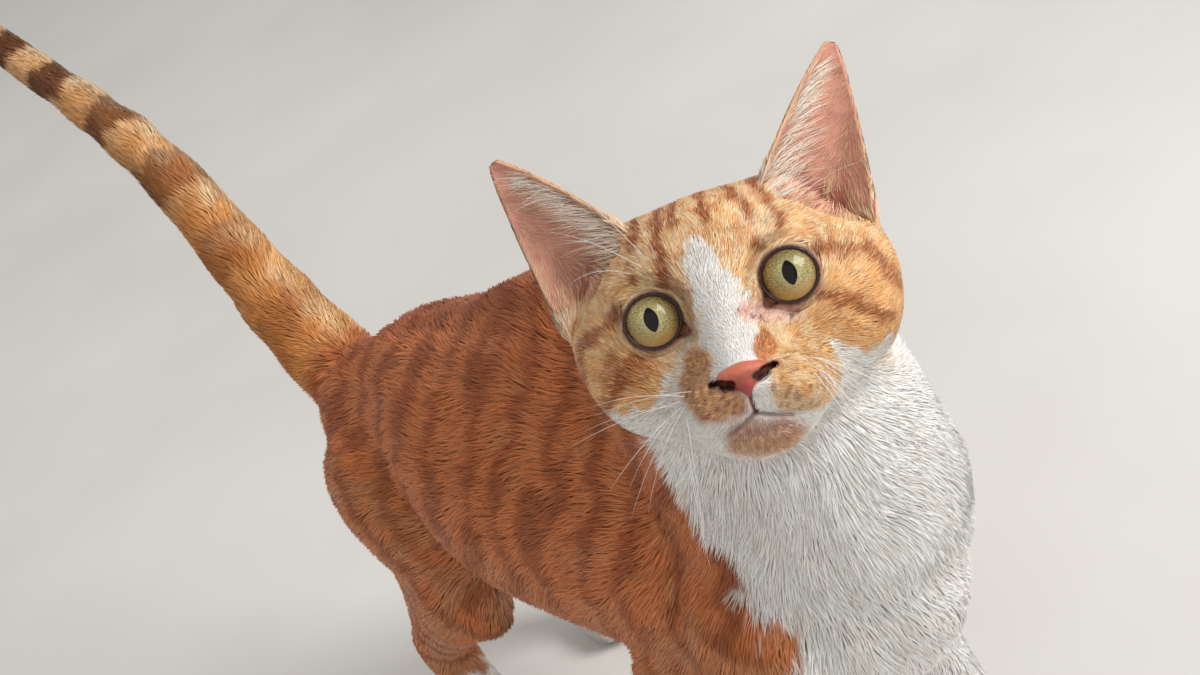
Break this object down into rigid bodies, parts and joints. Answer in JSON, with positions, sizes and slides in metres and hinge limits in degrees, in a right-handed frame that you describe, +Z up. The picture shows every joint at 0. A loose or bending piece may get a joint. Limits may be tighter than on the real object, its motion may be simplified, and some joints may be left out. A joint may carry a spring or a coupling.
{
  "type": "domestic cat model",
  "caption": "Life-size still model of a young ginger-and-white shorthair cat, standing with tail raised and head turned to look up.",
  "frame": {"origin": "on the ground under the middle of the model's bounding box", "axes": "+Z up, the cat's body faces -Y with its tail towards +Y, and its left side is +X"},
  "size_m": [0.1296, 0.4866, 0.3742],
  "materials": {
    "coat_ginger": "short dense fur, orange tabby with darker stripes",
    "coat_white": "short white fur",
    "coat_ringed": "short fur, orange with dark and cream rings",
    "nose_leather": "bare pink nose leather, slightly moist",
    "eye": "glossy cornea over a yellow-green iris with a slit pupil"
  },
  "bodies": {
    "root": {"ear_left": "coat_ginger", "ear_right": "coat_ginger", "eye_left": "eye", "eye_right": "eye", "forearm_left": "coat_white", "forearm_right": "coat_white", "forepaw_left": "coat_white", "forepaw_right": "coat_white", "head": "coat_ginger", "hindfoot_left": "coat_white", "hindfoot_right": "coat_white", "neck": "coat_ginger", "nose": "nose_leather", "shank_left": "coat_ginger", "shank_right": "coat_ginger", "shoulder_left": "coat_ginger", "shoulder_right": "coat_ginger", "tail_1": "coat_ringed", "tail_2": "coat_ringed", "tail_3": "coat_ringed", "thigh_left": "coat_ginger", "thigh_right": "coat_ginger", "trunk": "coat_ginger"}
  },
  "joints": []
}
